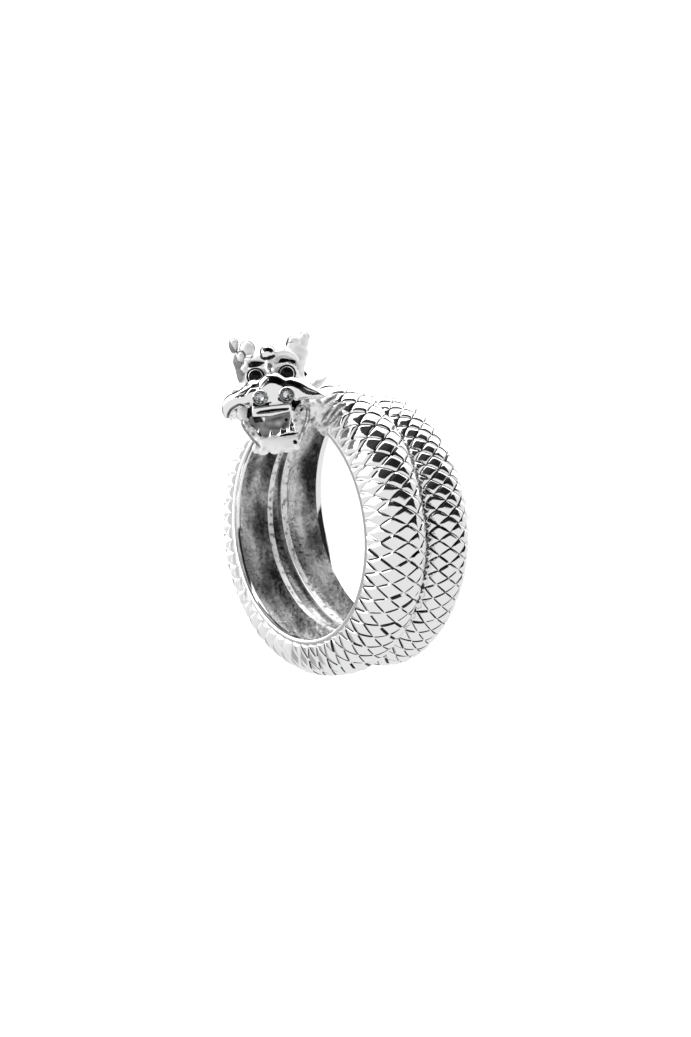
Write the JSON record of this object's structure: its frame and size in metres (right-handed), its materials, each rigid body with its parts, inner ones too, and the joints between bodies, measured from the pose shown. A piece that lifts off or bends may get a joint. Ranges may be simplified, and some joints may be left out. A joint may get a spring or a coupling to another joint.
{
  "type": "dragon ring",
  "caption": "Cast metal finger ring: a scaled serpent body winds round the finger in side-by-side rows and ends in a horned dragon's head with stone eyes and nostrils.",
  "frame": {"origin": "on the finger axis, level with the surface that the ring's rear rim rests on", "axes": "+Z along the finger axis from the rear row to the head, +Y from the axis to the head's place on the band"},
  "size_m": [0.0235, 0.0259, 0.017],
  "materials": {
    "polished_metal": "polished",
    "black_stone": "polished",
    "clear_stone": "faceted"
  },
  "bodies": {
    "root": {"ring_casting": "polished_metal", "eye_stone_left": "black_stone", "eye_stone_right": "black_stone", "nostril_stone_left": "clear_stone", "nostril_stone_right": "clear_stone"}
  },
  "joints": []
}
